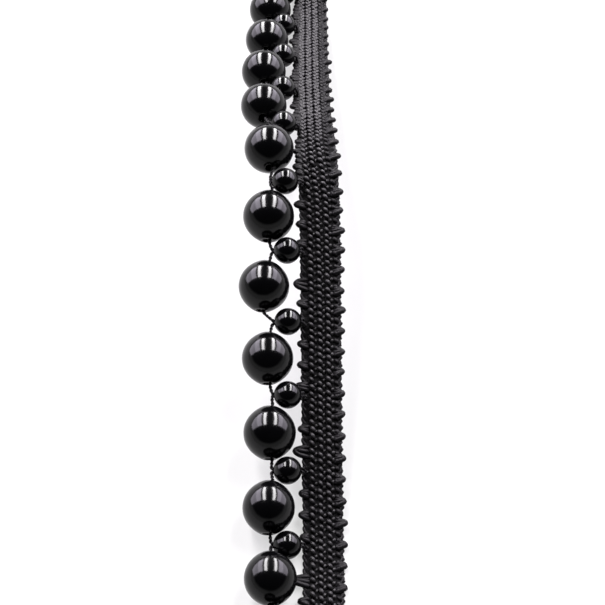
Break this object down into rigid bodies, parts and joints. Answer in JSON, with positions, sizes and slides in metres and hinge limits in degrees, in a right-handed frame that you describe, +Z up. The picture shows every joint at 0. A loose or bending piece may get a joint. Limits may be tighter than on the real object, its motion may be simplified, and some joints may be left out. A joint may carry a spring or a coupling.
{
  "type": "beaded braid ribbon trimming",
  "caption": "Narrow woven braid ribbon with picot edges and an edging of large and small round beads sewn on one side, lying as a low arch.",
  "frame": {"origin": "middle of the base, on the surface that the two flat ends lie on", "axes": "+Z up, +Y along the trimming from its near end to its far end, +X across it from the beads to the picot edge"},
  "size_m": [0.018, 0.1826, 0.0229],
  "materials": {
    "braid_yarn": "black spun yarn with a soft sheen, woven in raised slanting ribs",
    "sewing_thread": "black two-ply sewing thread, satin",
    "bead_gloss": "polished black moulded plastic, mirror-like highlights"
  },
  "bodies": {
    "root": {"braid": "braid_yarn", "sewing_thread": "sewing_thread", "large_bead_01": "bead_gloss", "large_bead_02": "bead_gloss", "large_bead_03": "bead_gloss", "large_bead_04": "bead_gloss", "large_bead_05": "bead_gloss", "large_bead_06": "bead_gloss", "large_bead_07": "bead_gloss", "large_bead_08": "bead_gloss", "large_bead_09": "bead_gloss", "large_bead_10": "bead_gloss", "large_bead_11": "bead_gloss", "large_bead_12": "bead_gloss", "large_bead_13": "bead_gloss", "large_bead_14": "bead_gloss", "large_bead_15": "bead_gloss", "small_bead_01": "bead_gloss", "small_bead_02": "bead_gloss", "small_bead_03": "bead_gloss", "small_bead_04": "bead_gloss", "small_bead_05": "bead_gloss", "small_bead_06": "bead_gloss", "small_bead_07": "bead_gloss", "small_bead_08": "bead_gloss", "small_bead_09": "bead_gloss", "small_bead_10": "bead_gloss", "small_bead_11": "bead_gloss", "small_bead_12": "bead_gloss", "small_bead_13": "bead_gloss", "small_bead_14": "bead_gloss", "small_bead_15": "bead_gloss", "small_bead_16": "bead_gloss"}
  },
  "joints": []
}
